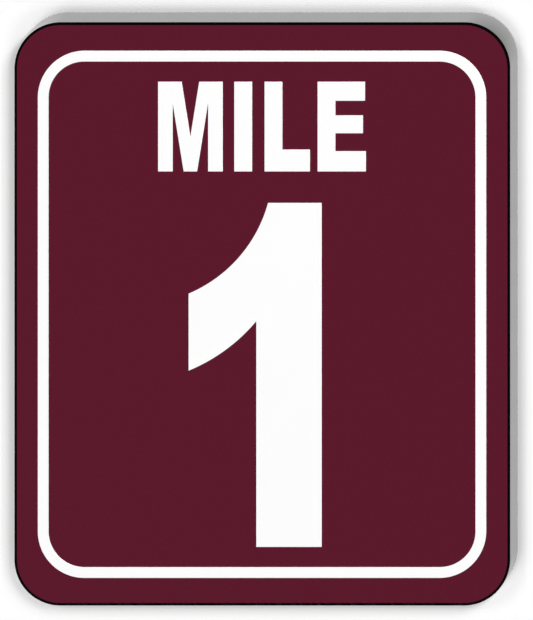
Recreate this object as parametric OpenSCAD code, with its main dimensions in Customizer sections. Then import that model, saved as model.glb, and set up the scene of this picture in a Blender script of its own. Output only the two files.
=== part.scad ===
// Mile marker sign: an aluminium sheet with rounded corners, faced with coloured film.
// Every piece is drawn as it lies on the bench, with x across the sign, y up the sign and the
// face upwards. The finished sign is then stood up: it faces -Y, and +Z is up.
// The origin is the centre of the sheet's back face, where the sign is fixed to its post or wall.

/* [Sheet] */
// Width of the sign
sign_w = 215.9; // [150:0.1:400]
// Height of the sign
sign_h = 254; // [220:0.1:500]
// Thickness of the aluminium sheet
sheet_t = 3.2; // [1:0.1:6]
// Radius of the sign's corners
corner_r = 20; // [6:0.5:45]
// Width of the broken edge round the back of the sheet
edge_break = 0.3; // [0.1:0.1:0.8]

/* [Face film] */
// Thickness of the coloured film that covers the face
film_t = 0.15; // [0.08:0.01:0.4]
// Width of the dark line that runs along the rim
edge_line_w = 1.1; // [0.4:0.1:3]

/* [White film] */
// Thickness of the white film laid on the coloured one
legend_t = 0.1; // [0.05:0.01:0.3]

/* [Border] */
// Width of the white border stripe
border_w = 4.6; // [2:0.1:10]
// Distance from each side of the sign to the border
border_side_gap = 10.3; // [5:0.1:25]
// Distance from the top and the bottom of the sign to the border
border_end_gap = 12.2; // [5:0.1:25]
// Outer radius of the border's corners
border_r = 20.3; // [11:0.1:45]

/* [Numeral] */
// Height of the numeral
numeral_h = 149.8; // [110:0.1:170]
// Height of the numeral's foot above the bottom of the sign
numeral_foot = 25.7; // [18:0.1:45]
// Distance of the numeral's middle from the sign's centre line, positive to the right
numeral_shift = -3; // [-15:0.1:15]
// Width of the numeral's stem
stem_w = 28.4; // [15:0.1:45]
// How far the numeral's flag reaches out to the left of the stem
flag_reach = 29.5; // [18:0.1:45]
// Height of the flag's upright left end
flag_end_h = 33.5; // [20:0.1:40]
// Depth of the flag's upper left corner below the numeral's top
flag_drop = 39.5; // [30:0.1:48]
// Depth below the numeral's top at which the flag's lower curve meets the stem
flag_root_drop = 51.4; // [45:0.1:60]
// Width that the flag's upper curve takes off the stem's top corner
stem_top_cut = 5.1; // [0:0.1:12]
// Radius of the flag's upper curve
upper_curve_r = 60.4; // [45:0.1:150]
// Radius of the flag's lower curve
lower_curve_r = 76.8; // [45:0.1:150]

/* [Hidden] */
$fn = 96;

bare_metal = [0.66, 0.66, 0.67];
line_black = [0.03, 0.03, 0.03];
maroon = [0.36, 0.105, 0.17];
film_white = [0.97, 0.97, 0.97];

// Each layer starts where the one under it ends
face_level = sheet_t;
legend_level = face_level + film_t;

numeral_w = flag_reach + stem_w;

// Centre of the circle of radius r that passes through a and b, on the left of the way from a to b
function arc_centre(a, b, r) =
    let (
        middle = (a + b) / 2,
        half = (b - a) / 2,
        distance = sqrt(r * r - half * half)
    )
    middle + distance * [-half[1], half[0]] / norm(half);

// Stands a piece up that was drawn lying on its back
module stood_up() {
    rotate([90, 0, 0]) children();
}

// Outline of a rectangle with round corners, centred on the origin
module rounded_outline(w, h, r) {
    square([w - 2 * r, h], center = true);
    square([w, h - 2 * r], center = true);
    for (x = [-1, 1], y = [-1, 1])
        translate([x * (w / 2 - r), y * (h / 2 - r)])
            circle(r);
}

// Outline of the sign drawn in from its rim by the given distance
module sign_outline(inset) {
    rounded_outline(sign_w - 2 * inset, sign_h - 2 * inset, corner_r - inset);
}

// Outline of the border's outer edge drawn in by the given distance
module border_outline(inset) {
    rounded_outline(
        sign_w - 2 * (border_side_gap + inset),
        sign_h - 2 * (border_end_gap + inset),
        border_r - inset
    );
}

// Section across the sheet's rim: the edge is square at the face and broken at the back
module rim_section() {
    polygon([
        [0, 0],
        [corner_r - edge_break, 0],
        [corner_r, edge_break],
        [corner_r, sheet_t],
        [0, sheet_t]
    ]);
}

// One straight length of the rim, centred on the y axis and running along x, its edge towards +y
module straight_rim(length) {
    rotate([90, 0, 90])
        linear_extrude(length, center = true)
            rim_section();
}

// The blank: a flat middle, four straight lengths of rim and a quarter turn of rim at each corner
module aluminium_sheet() {
    inner_w = sign_w - 2 * corner_r;
    inner_h = sign_h - 2 * corner_r;
    color(bare_metal)
        stood_up() {
            translate([-inner_w / 2, -inner_h / 2, 0])
                cube([inner_w, inner_h, sheet_t]);
            for (turn = [0, 180])
                rotate(turn) {
                    translate([0, inner_h / 2, 0])
                        straight_rim(inner_w);
                    rotate(90)
                        translate([0, inner_w / 2, 0])
                            straight_rim(inner_h);
                    translate([inner_w / 2, inner_h / 2, 0])
                        rotate_extrude(angle = 90)
                            rim_section();
                    translate([-inner_w / 2, inner_h / 2, 0])
                        rotate(90)
                            rotate_extrude(angle = 90)
                                rim_section();
                }
        }
}

// The dark line along the rim of the face
module edge_line() {
    color(line_black)
        stood_up()
            translate([0, 0, face_level])
                linear_extrude(film_t)
                    difference() {
                        sign_outline(0);
                        sign_outline(edge_line_w);
                    }
}

// The coloured field, which fills the face inside the dark line
module background_film() {
    color(maroon)
        stood_up()
            translate([0, 0, face_level])
                linear_extrude(film_t)
                    sign_outline(edge_line_w);
}

// The white stripe that frames the face
module border_stripe() {
    color(film_white)
        stood_up()
            translate([0, 0, legend_level])
                linear_extrude(legend_t)
                    difference() {
                        border_outline(0);
                        border_outline(border_w);
                    }
}

// Outline of the figure 1, with its lower left corner at the origin: a stem with a flag that two
// round curves bound, both bulging down and to the right
module numeral_outline() {
    flag_top = [0, numeral_h - flag_drop];
    flag_bottom = flag_top - [0, flag_end_h];
    flag_root = [flag_reach, numeral_h - flag_root_drop];
    stem_top = [flag_reach + stem_top_cut, numeral_h];
    difference() {
        union() {
            translate([flag_reach, 0])
                square([stem_w, numeral_h]);
            intersection() {
                translate(arc_centre(flag_bottom, flag_root, lower_curve_r))
                    circle(lower_curve_r);
                square([flag_reach + stem_w / 2, numeral_h]);
            }
        }
        translate(arc_centre(flag_top, stem_top, upper_curve_r))
            circle(upper_curve_r);
    }
}

// The white figure, standing clear of the bottom stripe of the border
module numeral_one() {
    color(film_white)
        stood_up()
            translate([numeral_shift - numeral_w / 2, numeral_foot - sign_h / 2, legend_level])
                linear_extrude(legend_t)
                    numeral_outline();
}

aluminium_sheet();
edge_line();
background_film();
border_stripe();
numeral_one();
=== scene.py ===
"""Mile marker sign: a flat aluminium sheet with rounded corners, faced with coloured film.

The sign stands upright. It faces -Y, +X is to the right as it is read, and +Z is up. Lengths are
in metres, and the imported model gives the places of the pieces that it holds.
"""

import math

import bmesh
import bpy
from bpy.props import FloatProperty, FloatVectorProperty, PointerProperty
from mathutils import Matrix, Vector


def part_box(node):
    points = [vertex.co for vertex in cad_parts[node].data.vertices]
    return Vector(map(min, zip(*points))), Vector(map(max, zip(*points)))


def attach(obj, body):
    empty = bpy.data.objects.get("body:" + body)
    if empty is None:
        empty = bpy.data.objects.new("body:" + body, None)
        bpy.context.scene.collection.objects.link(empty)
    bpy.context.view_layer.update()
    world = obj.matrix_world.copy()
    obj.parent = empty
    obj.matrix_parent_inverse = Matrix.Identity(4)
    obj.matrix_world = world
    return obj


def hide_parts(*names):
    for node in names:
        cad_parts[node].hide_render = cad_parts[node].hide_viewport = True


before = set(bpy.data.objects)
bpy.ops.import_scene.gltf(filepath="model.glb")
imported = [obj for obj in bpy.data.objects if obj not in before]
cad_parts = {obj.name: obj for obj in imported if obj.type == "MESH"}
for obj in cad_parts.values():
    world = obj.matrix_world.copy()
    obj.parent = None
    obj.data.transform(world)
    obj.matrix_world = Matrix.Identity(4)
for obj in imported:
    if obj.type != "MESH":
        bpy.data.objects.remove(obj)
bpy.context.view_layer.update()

bl_info = {
    "name": "Mile Marker Sign",
    "version": (1, 0, 0),
    "blender": (4, 5, 0),
    "location": "View3D > Sidebar > Sign",
    "description": "Builds a mile marker sign piece by piece, with its stage",
    "category": "Object",
}

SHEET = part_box("aluminium_sheet")
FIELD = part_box("background_film")
RIM_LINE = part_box("edge_line")
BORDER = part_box("border_stripe")
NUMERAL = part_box("numeral_one")

BODY = "root"
MM = 0.001

# Straight steps along each quarter turn of a corner, and along each arc of the numeral
CORNER_STEPS = 32
ARC_STEPS = 48
# Steps across a softened edge
SOFT_STEPS = 3
# Edges that turn by more than this stay crisp when the piece is shaded smooth
CRISP_ANGLE = math.radians(50)
# Edges that turn by more than this are softened
SOFT_ANGLE = math.radians(40)

# How far a surface's marks can lighten or darken its colour, as a share of it
SHADE_RANGE = 0.6
# Strength of the film's reflections, where 0.5 is that of plain plastic
FILM_GLOSS = 0.002
# Painted shade and highlight on the rim: how much darker it is beside the face at the middle of the
# upper right and lower left round corners, and how much lighter at the other two
CORNER_PAINTED_SHADING = 0.35

# Colour of the plain light of the sky and round the sign
WHITE = (1.0, 1.0, 1.0, 1.0)
# Colour of the stage where it is fully lit, and the light that it gives by itself
STAGE_TONE = 0.983
STAGE_GLOW = 0.034
# The gap between the sheet's back and the backdrop, which keeps their faces apart
BACKDROP_GAP = 0.02 * MM

# Where each lamp stands, and how wide it is, in metres. Its power is the setting of its name.
LAMPS = {
    "key": ((2.314, -1.0, 2.399), 0.756),
    "low": ((-1.086, -1.3, -1.049), 1.822),
    "left": ((-1.581, -1.3, 2.677), 0.923),
    "right": ((2.873, -1.3, -1.487), 1.232),
    "rear": ((-1.4, 2.0, -0.3), 1.6),
}
# The rim reflects the white sky and this lamp alone, so it has no bright streaks
REFLECTED_LAMP = "rear"


def width_of(box):
    """Width of a node's box, across the sign."""
    return box[1].x - box[0].x


def height_of(box):
    """Height of a node's box, up the sign."""
    return box[1].z - box[0].z


def thickness_of(box):
    """Thickness of a node's box, out of the face."""
    return box[1].y - box[0].y


def linear(red, green, blue):
    """A colour written in 8-bit screen values, as the linear values that a shader takes."""
    def channel(value):
        share = value / 255
        return share / 12.92 if share <= 0.04045 else ((share + 0.055) / 1.055) ** 2.4

    return channel(red), channel(green), channel(blue)


def length(name, description, default):
    """A length in metres that a user can change."""
    return FloatProperty(
        name=name,
        description=description,
        default=default,
        min=0.0,
        precision=5,
        subtype="DISTANCE",
        unit="LENGTH",
    )


def power(name, description, default):
    """A lamp's power in watts."""
    return FloatProperty(
        name=name,
        description=description,
        default=default,
        min=0.0,
        subtype="POWER",
        unit="POWER",
    )


def colour(name, description, default):
    """A colour that a user can change."""
    return FloatVectorProperty(
        name=name,
        description=description,
        default=default,
        min=0.0,
        max=1.0,
        size=3,
        subtype="COLOR",
    )


class SignSizes(bpy.types.PropertyGroup):
    """Sizes of the sheet and of the films on its face."""

    corner_radius: length("Corner radius", "Radius of the sheet's corners", 20 * MM)
    back_edge: length("Back edge", "Radius of the broken edge round the back", 0.3 * MM)
    front_edge: length("Front edge", "Radius of the sheet's edge under the film", 0.05 * MM)
    film_edge: length("Film edge", "Radius of the softened edge of each cut film", 0.03 * MM)
    stripe_width: length("Stripe width", "Width of the white border", 4.6 * MM)
    stripe_radius: length("Stripe radius", "Outer radius of the border's corners", 20.3 * MM)


class NumeralSizes(bpy.types.PropertyGroup):
    """Proportions of the numeral. Its width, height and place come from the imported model."""

    stem: length("Stem", "Width of the numeral's stem", 28.4 * MM)
    flag_end: length("Flag end", "Height of the flag's upright left end", 33.5 * MM)
    flag_drop: length("Flag drop", "Depth of the flag's upper corner below the top", 39.5 * MM)
    root_drop: length("Root drop", "Depth below the top at which the flag meets the stem", 51.4 * MM)
    top_cut: length("Top cut", "Width that the flag's curve takes off the stem's top", 5.1 * MM)
    upper_radius: length("Upper radius", "Radius of the flag's upper curve", 60.4 * MM)
    lower_radius: length("Lower radius", "Radius of the flag's lower curve", 76.8 * MM)


class WordSizes(bpy.types.PropertyGroup):
    """Sizes of the block letters above the numeral."""

    cap_height: length("Cap height", "Height of the letters", 39.0 * MM)
    top_gap: length("Top gap", "Distance from the top of the sign to the letters", 25.7 * MM)
    stem: length("Stem", "Width of an upright stroke", 7.7 * MM)
    arm: length("Arm", "Height of the upper arm", 8.2 * MM)
    middle_arm: length("Middle arm", "Height of the middle arm", 7.7 * MM)
    foot: length("Foot", "Height of the lower arm", 8.75 * MM)
    foot_of_l: length("Foot of L", "Height of the foot of the L", 9.45 * MM)
    arm_reach: length("Arm reach", "Width of the E at its upper arm", 20.6 * MM)
    middle_reach: length("Middle reach", "Width of the E at its middle arm", 19.7 * MM)
    foot_reach: length("Foot reach", "Width of the E at its lower arm", 21.0 * MM)
    l_reach: length("L reach", "Width of the L", 19.7 * MM)
    middle_top: length("Middle top", "Depth of the middle arm below the top", 14.65 * MM)
    m_width: length("M width", "Width of the M", 28.1 * MM)
    m_stem: length("M stem", "Width of each stem of the M", 6.3 * MM)
    m_shoulder: length("M shoulder", "Width of each flat top of the M", 10.2 * MM)
    m_notch: length("M notch", "Depth of the notch in the M's top", 24.0 * MM)
    m_slit: length("M slit", "Depth of the M's slits below its top", 8.8 * MM)
    m_point: length("M point", "Width of the M's middle point at its foot", 5.8 * MM)
    gap_m_i: length("Gap M to I", "Gap between the M and the I", 5.1 * MM)
    gap_i_l: length("Gap I to L", "Gap between the I and the L", 5.5 * MM)
    gap_l_e: length("Gap L to E", "Gap between the L and the E", 3.4 * MM)


class SignColours(bpy.types.PropertyGroup):
    """Colours of the sign's surfaces."""

    field: colour("Field", "Colour of the face", linear(89, 24, 42))
    legend: colour("Legend", "Colour of the border, the word and the numeral", linear(253, 253, 253))
    line: colour("Line", "Colour of the dark line along the rim", linear(2, 1, 2))
    cut_metal: colour("Cut metal", "Colour of the sheet's cut edge", linear(172, 171.6, 171.7))
    rolled_metal: colour("Rolled metal", "Colour of the sheet's back", linear(196, 197, 199))


class StageSettings(bpy.types.PropertyGroup):
    """The camera, the lamps and the backdrop."""

    lens: FloatProperty(name="Lens", description="Focal length in mm", default=600.0, min=1.0)
    view_height: length("View height", "Height of the picture at the sign's face", 270.15 * MM)
    view_right: length("View right", "How far right of the sign the picture is centred", 1.9 * MM)
    view_up: length("View up", "How far above the sign's middle the picture is centred", 1.8 * MM)
    slant_right: FloatProperty(
        name="Slant right",
        description="How far right the camera stands for each metre in front of the face",
        default=1.13,
    )
    slant_up: FloatProperty(
        name="Slant up",
        description="How far up the camera stands for each metre in front of the face",
        default=1.52,
    )
    floor_drop: length("Floor drop", "Height of the sign's lower edge above the floor", 3.0)
    floor_size: length("Floor size", "Width of the floor", 8.0)
    backdrop_size: length("Backdrop size", "Width and height of the backdrop", 0.5)
    fade_start: length("Fade start", "Distance from the sign where the shadow fades", 9 * MM)
    fade_end: length("Fade end", "Distance from the sign where the backdrop is white", 15 * MM)
    dome: FloatProperty(name="Dome", description="Strength of the even light", default=0.128)
    key: power("Key", "Power of the main lamp, high on the right", 148.4)
    low: power("Low", "Power of the large lamp, low on the left", 20.9)
    left: power("Left", "Power of the lamp high on the left", 38.1)
    right: power("Right", "Power of the lamp low on the right", 40.4)
    rear: power("Rear", "Power of the lamp behind the sign", 15.0)


def arc_points(start, end, radius):
    """Points along an arc from start to end, both included. A positive radius turns to the left."""
    start, end = Vector(start), Vector(end)
    half = (end - start) / 2
    side = Vector((-half.y, half.x)).normalized()
    reach = math.sqrt(radius ** 2 - half.length_squared)
    centre = start + half + side * math.copysign(reach, radius)
    first = math.atan2(start.y - centre.y, start.x - centre.x)
    turn = math.copysign(2 * math.asin(half.length / abs(radius)), radius)
    angles = [first + turn * step / ARC_STEPS for step in range(ARC_STEPS + 1)]
    return [centre + abs(radius) * Vector((math.cos(a), math.sin(a))) for a in angles]


def rounded_rectangle(width, height, radius):
    """Outline of a rectangle with round corners, centred on the origin, anticlockwise."""
    points = []
    for quarter, (side, end) in enumerate(((1, 1), (-1, 1), (-1, -1), (1, -1))):
        centre = Vector((side * (width / 2 - radius), end * (height / 2 - radius)))
        for step in range(CORNER_STEPS + 1):
            angle = math.radians(90) * (quarter + step / CORNER_STEPS)
            points.append(centre + radius * Vector((math.cos(angle), math.sin(angle))))
    return points


def add_ring(mesh, outline, depth):
    """Adds an outline's points to a mesh at one depth, as a list of vertices."""
    return [mesh.verts.new((point.x, depth, point.y)) for point in outline]


def bridge(mesh, front, back):
    """Adds the faces between two rings, of which the first is nearer the front."""
    for i in range(len(front)):
        following = (i + 1) % len(front)
        mesh.faces.new((front[i], back[i], back[following], front[following]))


def add_piece(name, mesh, materials):
    """Turns a bmesh into an object at the origin, with the given materials in their slots."""
    data = bpy.data.meshes.new(name)
    mesh.to_mesh(data)
    mesh.free()
    for look in materials:
        data.materials.append(look)
    piece = bpy.data.objects.new(name, data)
    bpy.context.scene.collection.objects.link(piece)
    return piece


def apply_modifiers(piece):
    """Makes a piece's modifiers part of its mesh."""
    finished = piece.evaluated_get(bpy.context.evaluated_depsgraph_get())
    mesh = bpy.data.meshes.new_from_object(finished)
    piece.modifiers.clear()
    piece.data = mesh
    mesh.name = piece.name


def shade(piece):
    """Shades a piece smooth, with its crisp edges kept and its large faces shaded flat."""
    piece.data.shade_smooth()
    piece.data.set_sharp_from_angle(angle=CRISP_ANGLE)
    piece.modifiers.new("Weighted normals", "WEIGHTED_NORMAL").keep_sharp = True
    apply_modifiers(piece)


def soften(piece, radius):
    """Rounds a piece's right-angled edges."""
    bevel = piece.modifiers.new("Soft edges", "BEVEL")
    bevel.width = radius
    bevel.segments = SOFT_STEPS
    bevel.limit_method = "ANGLE"
    bevel.angle_limit = SOFT_ANGLE
    apply_modifiers(piece)


def cut_film(name, outlines, box, edge, look):
    """Flat pieces of film cut to the given outlines, between the back and the front of a box."""
    front, back = box[0].y, box[1].y
    mesh = bmesh.new()
    for outline in outlines:
        front_ring = add_ring(mesh, outline, front)
        back_ring = add_ring(mesh, outline, back)
        mesh.faces.new(front_ring)
        mesh.faces.new(list(reversed(back_ring)))
        bridge(mesh, front_ring, back_ring)
    piece = add_piece(name, mesh, [look])
    soften(piece, edge)
    shade(piece)
    return piece


def add_node(tree, kind, settings=None, inputs=None):
    """Adds a node: its settings come first, then the values or links of its inputs."""
    made = tree.nodes.new(kind)
    for name, value in (settings or {}).items():
        setattr(made, name, value)
    for name, value in (inputs or {}).items():
        feed(tree, made.inputs[name], value)
    return made


def feed(tree, socket, value):
    """Links a signal or another node's socket to an input, or sets it to a plain value."""
    if isinstance(value, Signal):
        value = value.socket
    if isinstance(value, bpy.types.NodeSocket):
        tree.links.new(value, socket)
    else:
        socket.default_value = value


class Signal:
    """A number that varies over a surface. Each operator adds a Math node to its material."""

    def __init__(self, finish, socket):
        self.finish = finish
        self.socket = socket

    def _math(self, operation, first, second):
        inputs = {0: first, 1: second}
        node = self.finish.node("ShaderNodeMath", {"operation": operation}, inputs)
        return Signal(self.finish, node.outputs[0])

    def __add__(self, other):
        return self._math("ADD", self, other)

    def __radd__(self, other):
        return self._math("ADD", other, self)

    def __sub__(self, other):
        return self._math("SUBTRACT", self, other)

    def __rsub__(self, other):
        return self._math("SUBTRACT", other, self)

    def __mul__(self, other):
        return self._math("MULTIPLY", self, other)

    def __rmul__(self, other):
        return self._math("MULTIPLY", other, self)

    def least(self, other):
        """The smaller of the two."""
        return self._math("MINIMUM", self, other)

    def most(self, other):
        """The larger of the two."""
        return self._math("MAXIMUM", self, other)

    def beyond(self, limit):
        """How far the number lies past the limit on its own side of 0, and 0 within it."""
        return (self - limit).most(0) + (self + limit).least(0)


class Finish:
    """A material or a world in the making."""

    def __init__(self, owner):
        owner.use_nodes = True
        self.owner = owner
        self.tree = owner.node_tree

    def node(self, kind, settings=None, inputs=None):
        """Adds a node to this material or world."""
        return add_node(self.tree, kind, settings, inputs)

    def feed(self, socket, value):
        """Links a signal to an input of this material or world, or sets it to a plain value."""
        feed(self.tree, socket, value)

    def place(self, stretch=(1.0, 1.0, 1.0)):
        """The place on the piece, stretched along each axis."""
        where = self.node("ShaderNodeTexCoord").outputs["Object"]
        return self.node("ShaderNodeMapping", None, {"Vector": where, "Scale": stretch}).outputs[0]

    def axes(self):
        """The place on the piece along X, Y and Z, as three numbers."""
        apart = self.node("ShaderNodeSeparateXYZ", None, {"Vector": self.place()})
        return [Signal(self, output) for output in apart.outputs]

    def noise(self, grain, stretch=(1.0, 1.0, 1.0), detail=2.0):
        """Noise from about -1 to 1, whose patches are about one grain across."""
        inputs = {"Vector": self.place(stretch), "Scale": 1.0 / grain, "Detail": detail}
        pattern = self.node("ShaderNodeTexNoise", {"noise_dimensions": "3D"}, inputs)
        return Signal(self, pattern.outputs["Fac"]) * 2.0 - 1.0

    def shaded(self, tint, amount):
        """A colour made lighter and darker by a signal, which is 0 where it stays as written."""
        light = (*[(1 + SHADE_RANGE) * channel for channel in tint], 1.0)
        dark = (*[(1 - SHADE_RANGE) * channel for channel in tint], 1.0)
        # Inputs 6 and 7 of a Mix node are its two colours, and output 2 is the mixed one
        mixed = self.node(
            "ShaderNodeMix",
            {"data_type": "RGBA", "clamp_factor": True},
            {0: amount * (0.5 / SHADE_RANGE) + 0.5, 6: dark, 7: light},
        )
        return mixed.outputs[2]

    def bump(self, height, depth):
        """A normal bent by a height signal, whose height of 1 is the given depth."""
        bent = self.node("ShaderNodeBump", None, {"Height": height, "Distance": depth})
        return bent.outputs["Normal"]


def surface(name, settings):
    """A material with a Principled shader, whose plain values are set on the shader itself."""
    finish = Finish(bpy.data.materials.new(name))
    shader = finish.tree.nodes["Principled BSDF"]
    for socket, value in settings.items():
        shader.inputs[socket].default_value = value
    return finish, shader


def film_finish(name, tint, roughness):
    """Flat sign film: the faint peel of its surface, fine beads under it and hardly any gloss."""
    finish, shader = surface(name, {"Specular IOR Level": FILM_GLOSS})
    beads = finish.noise(0.25 * MM, detail=1.0)
    peel = finish.noise(1.6 * MM, detail=1.0)
    cloud = finish.noise(30 * MM)
    finish.feed(shader.inputs["Base Color"], finish.shaded(tint, beads * 0.03 + cloud * 0.01))
    finish.feed(shader.inputs["Roughness"], roughness + cloud * 0.04 + peel * 0.03)
    finish.feed(shader.inputs["Normal"], finish.bump(peel + beads * 0.3, 0.01 * MM))
    return finish.owner


def cut_metal_finish(name, tint, corner_radius):
    """The sheet's rim: the cutter's fine marks across it, and painted shade and highlight at the
    round corners, darker beside the face at the upper right and lower left and lighter at the other
    two.
    """
    finish, shader = surface(name, {"Metallic": 1.0})
    marks = finish.noise(0.5 * MM, stretch=(1.0, 0.05, 1.0), detail=3.0)
    smears = finish.noise(12 * MM)
    across, depth, up = finish.axes()
    # Painted shade and highlight: the rim's colour is darkened at the upper right and lower left
    # corners and lightened at the other two, most beside the face
    turned = across.beyond(SHEET[1].x - corner_radius) * up.beyond(SHEET[1].z - corner_radius)
    painted_corner_shading = turned * depth * (2 * CORNER_PAINTED_SHADING / (SHEET[0].y * corner_radius ** 2))
    finish.feed(
        shader.inputs["Base Color"],
        finish.shaded(tint, marks * 0.06 + smears * 0.05 - painted_corner_shading),
    )
    finish.feed(shader.inputs["Roughness"], 0.5 + marks * 0.08)
    finish.feed(shader.inputs["Normal"], finish.bump(marks, 0.02 * MM))
    return finish.owner


def rolled_metal_finish(name, tint):
    """The sheet's bare back, with its rolling grain and the light scuffs of handling."""
    finish, shader = surface(name, {"Metallic": 1.0})
    grain = finish.noise(0.4 * MM, stretch=(1.0, 1.0, 0.02), detail=4.0)
    bands = finish.noise(9 * MM, stretch=(1.0, 1.0, 0.04))
    cloud = finish.noise(45 * MM, detail=3.0)
    finish.feed(
        shader.inputs["Base Color"],
        finish.shaded(tint, grain * 0.06 + bands * 0.05 + cloud * 0.05),
    )
    finish.feed(shader.inputs["Roughness"], 0.38 + grain * 0.08 + cloud * 0.06)
    finish.feed(shader.inputs["Normal"], finish.bump(grain, 0.01 * MM))
    return finish.owner


def material(name, make, *values):
    """The named material, made on its first use."""
    return bpy.data.materials.get(name) or make(name, *values)


def field_material(colours):
    """Maroon film."""
    return material("maroon_sign_film", film_finish, colours.field, 0.42)


def legend_material(colours):
    """White film."""
    return material("white_sign_film", film_finish, colours.legend, 0.4)


def line_material(colours):
    """Black film."""
    return material("black_sign_film", film_finish, colours.line, 0.4)


def strip_tree():
    """Nodes that lay a flat strip of film along a rectangle with round corners."""
    tree = bpy.data.node_groups.new("Film strip round a rectangle", "GeometryNodeTree")
    for name, kind in (
        ("Path width", "NodeSocketFloat"),
        ("Path height", "NodeSocketFloat"),
        ("Corner radius", "NodeSocketFloat"),
        ("Strip width", "NodeSocketFloat"),
        ("Thickness", "NodeSocketFloat"),
        ("Edge radius", "NodeSocketFloat"),
        ("Place", "NodeSocketVector"),
        ("Material", "NodeSocketMaterial"),
    ):
        tree.interface.new_socket(name, in_out="INPUT", socket_type=kind)
    tree.interface.new_socket("Geometry", in_out="OUTPUT", socket_type="NodeSocketGeometry")

    given = add_node(tree, "NodeGroupInput").outputs

    def rounded(width, height, radius, steps):
        """A rectangle with round corners."""
        corners = add_node(
            tree,
            "GeometryNodeCurvePrimitiveQuadrilateral",
            {"mode": "RECTANGLE"},
            {"Width": width, "Height": height},
        )
        turned = add_node(
            tree,
            "GeometryNodeFilletCurve",
            {"mode": "POLY"},
            {"Curve": corners.outputs[0], "Count": steps, "Radius": radius},
        )
        return turned.outputs[0]

    path = rounded(
        given["Path width"], given["Path height"], given["Corner radius"], CORNER_STEPS
    )
    section = rounded(
        given["Strip width"], given["Thickness"], given["Edge radius"], SOFT_STEPS
    )
    level = add_node(tree, "GeometryNodeSetCurveNormal", {"mode": "Z_UP"}, {"Curve": path})
    strip = add_node(
        tree,
        "GeometryNodeCurveToMesh",
        None,
        {"Curve": level.outputs[0], "Profile Curve": section},
    )
    upright = add_node(
        tree,
        "GeometryNodeTransform",
        None,
        {
            "Geometry": strip.outputs[0],
            "Translation": given["Place"],
            "Rotation": (math.radians(90), 0.0, 0.0),
        },
    )
    real = add_node(
        tree, "GeometryNodeRealizeInstances", None, {"Geometry": upright.outputs[0]}
    )
    dressed = add_node(
        tree,
        "GeometryNodeSetMaterial",
        None,
        {"Geometry": real.outputs[0], "Material": given["Material"]},
    )
    add_node(tree, "NodeGroupOutput", None, {"Geometry": dressed.outputs[0]})
    return tree


def film_strip(name, box, width, outer_radius, edge, look):
    """A strip of film that follows the inside of a box's outline, as a plain mesh."""
    tree = bpy.data.node_groups.get("Film strip round a rectangle") or strip_tree()
    strip = bpy.data.objects.new(name, bpy.data.meshes.new(name))
    bpy.context.scene.collection.objects.link(strip)
    modifier = strip.modifiers.new("Film strip", "NODES")
    modifier.node_group = tree
    middle = (box[0] + box[1]) / 2
    values = {
        "Path width": width_of(box) - width,
        "Path height": height_of(box) - width,
        "Corner radius": outer_radius - width / 2,
        "Strip width": width,
        "Thickness": thickness_of(box),
        "Edge radius": edge,
        "Place": middle,
        "Material": look,
    }
    for item in tree.interface.items_tree:
        if item.in_out == "INPUT":
            modifier[item.identifier] = values[item.name]
    apply_modifiers(strip)
    shade(strip)
    return strip


class SheetOperator(bpy.types.Operator):
    """Builds the aluminium sheet, with its cut rim and its bare back."""

    bl_idname = "mile_sign.sheet"
    bl_label = "Aluminium sheet"

    def execute(self, context):
        sizes = context.scene.sign_sizes
        colours = context.scene.sign_colours
        front, back = SHEET[0].y, SHEET[1].y
        rings = self.rim_section(front, back, sizes.front_edge, sizes.back_edge)
        mesh = bmesh.new()
        rounds = []
        for inset, depth in rings:
            outline = rounded_rectangle(
                width_of(SHEET) - 2 * inset,
                height_of(SHEET) - 2 * inset,
                sizes.corner_radius - inset,
            )
            rounds.append(add_ring(mesh, outline, depth))
        for nearer, further in zip(rounds, rounds[1:]):
            bridge(mesh, nearer, further)
        mesh.faces.new(rounds[0])
        back_face = mesh.faces.new(list(reversed(rounds[-1])))
        back_face.material_index = 1
        cut = material(
            "cut_aluminium", cut_metal_finish, colours.cut_metal, sizes.corner_radius
        )
        rolled = material("rolled_aluminium", rolled_metal_finish, colours.rolled_metal)
        sheet = add_piece("sheet_metal", mesh, [cut, rolled])
        shade(sheet)
        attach(sheet, BODY)
        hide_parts("aluminium_sheet")
        return {"FINISHED"}

    @staticmethod
    def rim_section(front, back, front_radius, back_radius):
        """The rim's section from front to back, as (inset, depth) pairs with both edges rounded."""
        section = []
        for step in range(SOFT_STEPS + 1):
            angle = math.radians(90) * step / SOFT_STEPS
            inset = front_radius * (1 - math.sin(angle))
            section.append((inset, front + front_radius * (1 - math.cos(angle))))
        for step in range(SOFT_STEPS + 1):
            angle = math.radians(90) * step / SOFT_STEPS
            inset = back_radius * (1 - math.cos(angle))
            section.append((inset, back - back_radius * (1 - math.sin(angle))))
        return section


class FieldOperator(bpy.types.Operator):
    """Builds the maroon film that covers the face inside the dark line."""

    bl_idname = "mile_sign.field"
    bl_label = "Maroon field"

    def execute(self, context):
        sizes = context.scene.sign_sizes
        line_width = (width_of(RIM_LINE) - width_of(FIELD)) / 2
        outline = rounded_rectangle(
            width_of(FIELD), height_of(FIELD), sizes.corner_radius - line_width
        )
        film = field_material(context.scene.sign_colours)
        field = cut_film("maroon_field", [outline], FIELD, sizes.film_edge, film)
        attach(field, BODY)
        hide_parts("background_film")
        return {"FINISHED"}


class RimLineOperator(bpy.types.Operator):
    """Builds the dark line along the rim of the face."""

    bl_idname = "mile_sign.rim_line"
    bl_label = "Dark rim line"

    def execute(self, context):
        sizes = context.scene.sign_sizes
        width = (width_of(RIM_LINE) - width_of(FIELD)) / 2
        film = line_material(context.scene.sign_colours)
        radius = sizes.corner_radius
        line = film_strip("dark_rim_line", RIM_LINE, width, radius, sizes.film_edge, film)
        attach(line, BODY)
        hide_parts("edge_line")
        return {"FINISHED"}


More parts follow.
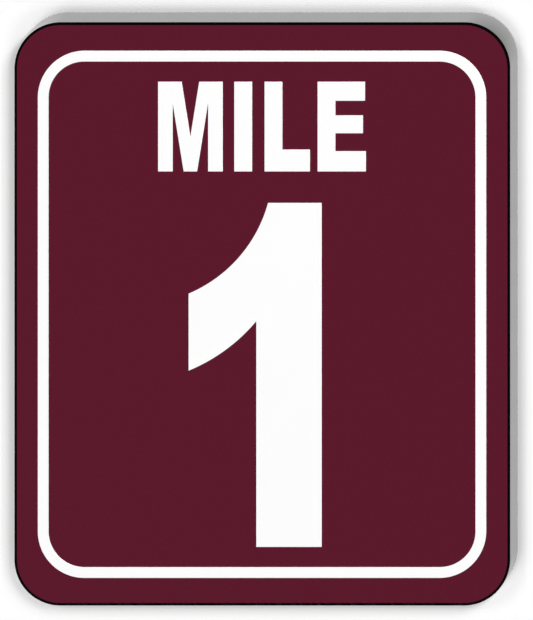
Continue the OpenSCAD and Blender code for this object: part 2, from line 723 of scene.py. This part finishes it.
class BorderOperator(bpy.types.Operator):
    """Builds the white stripe that frames the face."""

    bl_idname = "mile_sign.border"
    bl_label = "White border"

    def execute(self, context):
        sizes = context.scene.sign_sizes
        film = legend_material(context.scene.sign_colours)
        width, radius = sizes.stripe_width, sizes.stripe_radius
        border = film_strip("white_border", BORDER, width, radius, sizes.film_edge, film)
        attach(border, BODY)
        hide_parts("border_stripe")
        return {"FINISHED"}


class NumeralOperator(bpy.types.Operator):
    """Builds the large figure 1: a stem, and a flag between two round curves."""

    bl_idname = "mile_sign.numeral"
    bl_label = "Numeral"

    def execute(self, context):
        film = legend_material(context.scene.sign_colours)
        edge = context.scene.sign_sizes.film_edge
        outline = self.outline(context.scene.numeral_sizes)
        numeral = cut_film("white_numeral", [outline], NUMERAL, edge, film)
        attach(numeral, BODY)
        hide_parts("numeral_one")
        return {"FINISHED"}

    @staticmethod
    def outline(sizes):
        """The figure's outline, anticlockwise from the foot of its stem."""
        left, right = NUMERAL[0].x, NUMERAL[1].x
        foot, top = NUMERAL[0].z, NUMERAL[1].z
        stem_left = right - sizes.stem
        stem_top = (stem_left + sizes.top_cut, top)
        flag_top = (left, top - sizes.flag_drop)
        flag_bottom = (left, flag_top[1] - sizes.flag_end)
        flag_root = (stem_left, top - sizes.root_drop)
        return [
            Vector((stem_left, foot)),
            Vector((right, foot)),
            Vector((right, top)),
            *arc_points(stem_top, flag_top, -sizes.upper_radius),
            *arc_points(flag_bottom, flag_root, sizes.lower_radius),
        ]


class WordOperator(bpy.types.Operator):
    """Builds the word above the numeral in plain block letters."""

    bl_idname = "mile_sign.word"
    bl_label = "Word"

    def execute(self, context):
        sizes = context.scene.word_sizes
        film = legend_material(context.scene.sign_colours)
        letters = (
            (self.letter_m(sizes), sizes.gap_m_i),
            (self.letter_i(sizes), sizes.gap_i_l),
            (self.letter_l(sizes), sizes.gap_l_e),
            (self.letter_e(sizes), 0.0),
        )
        word_width = sum(max(x for x, _ in corners) + gap for corners, gap in letters)
        left = -word_width / 2
        foot = SHEET[1].z - sizes.top_gap - sizes.cap_height
        outlines = []
        for corners, gap in letters:
            outlines.append([Vector((left + x, foot + z)) for x, z in corners])
            left += max(x for x, _ in corners) + gap
        edge = context.scene.sign_sizes.film_edge
        word = cut_film("white_word", outlines, NUMERAL, edge, film)
        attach(word, BODY)
        return {"FINISHED"}

    @staticmethod
    def letter_m(sizes):
        """Corners of the M, anticlockwise from its lower left."""
        top, width, middle = sizes.cap_height, sizes.m_width, sizes.m_width / 2
        slit_top = top - sizes.m_slit
        half_point = sizes.m_point / 2
        return [
            (0.0, 0.0),
            (sizes.m_stem, 0.0),
            (sizes.m_stem, slit_top),
            (middle - half_point, 0.0),
            (middle + half_point, 0.0),
            (width - sizes.m_stem, slit_top),
            (width - sizes.m_stem, 0.0),
            (width, 0.0),
            (width, top),
            (width - sizes.m_shoulder, top),
            (middle, top - sizes.m_notch),
            (sizes.m_shoulder, top),
            (0.0, top),
        ]

    @staticmethod
    def letter_i(sizes):
        """Corners of the I, anticlockwise from its lower left."""
        top, stem = sizes.cap_height, sizes.stem
        return [(0.0, 0.0), (stem, 0.0), (stem, top), (0.0, top)]

    @staticmethod
    def letter_l(sizes):
        """Corners of the L, anticlockwise from its lower left."""
        top, stem, reach, foot = sizes.cap_height, sizes.stem, sizes.l_reach, sizes.foot_of_l
        return [(0.0, 0.0), (reach, 0.0), (reach, foot), (stem, foot), (stem, top), (0.0, top)]

    @staticmethod
    def letter_e(sizes):
        """Corners of the E, anticlockwise from its lower left."""
        top, stem = sizes.cap_height, sizes.stem
        middle_top = top - sizes.middle_top
        middle_foot = middle_top - sizes.middle_arm
        return [
            (0.0, 0.0),
            (sizes.foot_reach, 0.0),
            (sizes.foot_reach, sizes.foot),
            (stem, sizes.foot),
            (stem, middle_foot),
            (sizes.middle_reach, middle_foot),
            (sizes.middle_reach, middle_top),
            (stem, middle_top),
            (stem, top - sizes.arm),
            (sizes.arm_reach, top - sizes.arm),
            (sizes.arm_reach, top),
            (0.0, top),
        ]


class StageOperator(bpy.types.Operator):
    """Sets up the floor, the backdrop, the lamps and the camera."""

    bl_idname = "mile_sign.stage"
    bl_label = "Stage"

    def execute(self, context):
        settings = context.scene.stage_settings
        context.scene.view_settings.view_transform = "Standard"
        self.add_sky(context.scene, settings.dome)
        floor_level = SHEET[0].z - settings.floor_drop
        floor_reach = settings.floor_size / 2
        wall_reach = settings.backdrop_size / 2
        floor = self.add_plane(
            "stage_floor",
            floor_reach,
            lambda x, y: (x, y, floor_level),
            self.pale_material("pale_floor", lambda finish: 1.0),
        )
        wall_place = SHEET[1].y + BACKDROP_GAP
        radius = context.scene.sign_sizes.corner_radius
        fade = (radius + settings.fade_start, radius + settings.fade_end)
        wall = self.add_plane(
            "stage_backdrop",
            wall_reach,
            lambda x, z: (x, wall_place, z),
            self.pale_material("pale_backdrop", lambda finish: self.beside(finish, radius, fade)),
        )
        for name, (place, size) in LAMPS.items():
            lamp = self.add_lamp(f"{name}_lamp", place, size, getattr(settings, name))
            lamp.visible_glossy = name == REFLECTED_LAMP
        self.add_camera(context.scene, settings)
        return {"FINISHED"}

    @staticmethod
    def add_plane(name, reach, place, look):
        """A square plane, whose corners are put in place by a function."""
        corners = ((-reach, -reach), (reach, -reach), (reach, reach), (-reach, reach))
        mesh = bmesh.new()
        mesh.faces.new([mesh.verts.new(place(*corner)) for corner in corners])
        return add_piece(name, mesh, [look])

    @staticmethod
    def add_sky(scene, strength):
        """An even dome of light, which is white to the camera and in reflections."""
        world = bpy.data.worlds.new("Sky")
        scene.world = world
        sky = Finish(world)
        sky.tree.nodes.clear()
        path = sky.node("ShaderNodeLightPath").outputs
        straight = 1 - Signal(sky, path["Diffuse Depth"]).least(1)
        in_metal = straight * path["Is Glossy Ray"]
        seen = in_metal.most(path["Is Camera Ray"]).most(path["Is Transmission Ray"])
        dome = sky.node("ShaderNodeBackground", None, {"Color": WHITE, "Strength": strength})
        white = sky.node("ShaderNodeBackground", None, {"Color": WHITE, "Strength": 1.0})
        both = sky.node(
            "ShaderNodeMixShader", None, {0: seen, 1: dome.outputs[0], 2: white.outputs[0]}
        )
        sky.node("ShaderNodeOutputWorld", None, {"Surface": both.outputs[0]})

    @staticmethod
    def beside(finish, radius, fade):
        """1 round the sign and 0 away from it. The fade is two distances from its arcs' centres."""
        across, _, up = finish.axes()
        off_side = across.beyond(SHEET[1].x - radius)
        off_end = up.beyond(SHEET[1].z - radius)
        inner, outer = fade[0] ** 2, fade[1] ** 2
        off = off_side * off_side + off_end * off_end
        return ((outer - off) * (1 / (outer - inner))).most(0).least(1)

    @staticmethod
    def pale_material(name, share_of):
        """A pale matt surface that takes shadows and is white where it is fully lit.

        Only the camera sees it, and from its front, so that it hides no lamp and no reflection.
        The given function of its finish is 1 where the surface takes shadows, and 0 where it is
        plain white.
        """
        finish, pale = surface(
            name, {"Roughness": 1.0, "Specular IOR Level": 0.0, "Emission Strength": STAGE_GLOW}
        )
        grain = finish.noise(2.5 * MM, detail=3.0)
        tone = (STAGE_TONE, STAGE_TONE, STAGE_TONE)
        finish.feed(pale.inputs["Base Color"], finish.shaded(tone, grain * 0.01))
        white = finish.node("ShaderNodeEmission", None, {"Color": WHITE, "Strength": 1.0})
        shown = finish.node(
            "ShaderNodeMixShader",
            None,
            {0: share_of(finish), 1: white.outputs[0], 2: pale.outputs[0]},
        )
        clear = finish.node("ShaderNodeBsdfTransparent")
        to_camera = Signal(finish, finish.node("ShaderNodeLightPath").outputs["Is Camera Ray"])
        behind = Signal(finish, finish.node("ShaderNodeNewGeometry").outputs["Backfacing"])
        seen = finish.node(
            "ShaderNodeMixShader",
            None,
            {0: to_camera * (1 - behind), 1: clear.outputs[0], 2: shown.outputs[0]},
        )
        finish.feed(finish.tree.nodes["Material Output"].inputs["Surface"], seen.outputs[0])
        return finish.owner

    @staticmethod
    def add_lamp(name, place, size, watts):
        """A square softbox that points at the sign."""
        light = bpy.data.lights.new(name, "AREA")
        light.size = size
        light.energy = watts
        lamp = bpy.data.objects.new(name, light)
        lamp.location = place
        lamp.rotation_euler = Vector(place).to_track_quat("Z", "Y").to_euler()
        lamp.visible_camera = False
        bpy.context.scene.collection.objects.link(lamp)
        return lamp

    @staticmethod
    def add_camera(scene, settings):
        """A long lens held square to the face with its axis slanted.

        The face keeps its true outline, and the rim shows along its top and its right. The slant
        is in the inverse matrix of the camera's stand, so a camera taken off the stand is a plain
        one.
        """
        data = bpy.data.cameras.new("Camera")
        data.lens = settings.lens
        camera = bpy.data.objects.new("Camera", data)
        stand = bpy.data.objects.new("Camera stand", None)
        for item in (camera, stand):
            scene.collection.objects.link(item)
        axis = Vector((settings.slant_right, -1.0, settings.slant_up)).normalized()
        distance = settings.view_height * data.lens / data.sensor_width
        aim = Vector((settings.view_right, FIELD[0].y, settings.view_up))
        eye = aim + distance * axis
        camera.parent = stand
        camera.matrix_parent_inverse = Matrix(
            (
                (1.0, 0.0, axis.x, eye.x),
                (0.0, 0.0, axis.y, eye.y),
                (0.0, 1.0, axis.z, eye.z),
                (0.0, 0.0, 0.0, 1.0),
            )
        )
        data.clip_start = distance / 100
        data.clip_end = distance * 100
        scene.camera = camera


PIECE_OPERATORS = (
    SheetOperator,
    FieldOperator,
    RimLineOperator,
    BorderOperator,
    NumeralOperator,
    WordOperator,
    StageOperator,
)
SETTINGS = {
    "sign_sizes": SignSizes,
    "numeral_sizes": NumeralSizes,
    "word_sizes": WordSizes,
    "sign_colours": SignColours,
    "stage_settings": StageSettings,
}


class SignPanel(bpy.types.Panel):
    """Lists the sign's sizes and colours, and the operators that build its pieces."""

    bl_idname = "VIEW3D_PT_mile_sign"
    bl_label = "Mile Marker Sign"
    bl_space_type = "VIEW_3D"
    bl_region_type = "UI"
    bl_category = "Sign"

    def draw(self, context):
        for name, group in SETTINGS.items():
            section = self.layout.box()
            section.label(text=name.replace("_", " ").capitalize())
            for setting in group.__annotations__:
                section.prop(getattr(context.scene, name), setting)
        for operator in PIECE_OPERATORS:
            self.layout.operator(operator.bl_idname)


def register():
    """Registers the settings, the operators and the panel."""
    for group in SETTINGS.values():
        bpy.utils.register_class(group)
    for name, group in SETTINGS.items():
        setattr(bpy.types.Scene, name, PointerProperty(type=group))
    for operator in PIECE_OPERATORS:
        bpy.utils.register_class(operator)
    bpy.utils.register_class(SignPanel)


def unregister():
    """Takes the panel, the operators and the settings away again."""
    bpy.utils.unregister_class(SignPanel)
    for operator in reversed(PIECE_OPERATORS):
        bpy.utils.unregister_class(operator)
    for name in SETTINGS:
        delattr(bpy.types.Scene, name)
    for group in reversed(list(SETTINGS.values())):
        bpy.utils.unregister_class(group)


def main():
    register()
    for operator in PIECE_OPERATORS:
        group, name = operator.bl_idname.split(".")
        getattr(getattr(bpy.ops, group), name)()


if __name__ == "__main__":
    main()
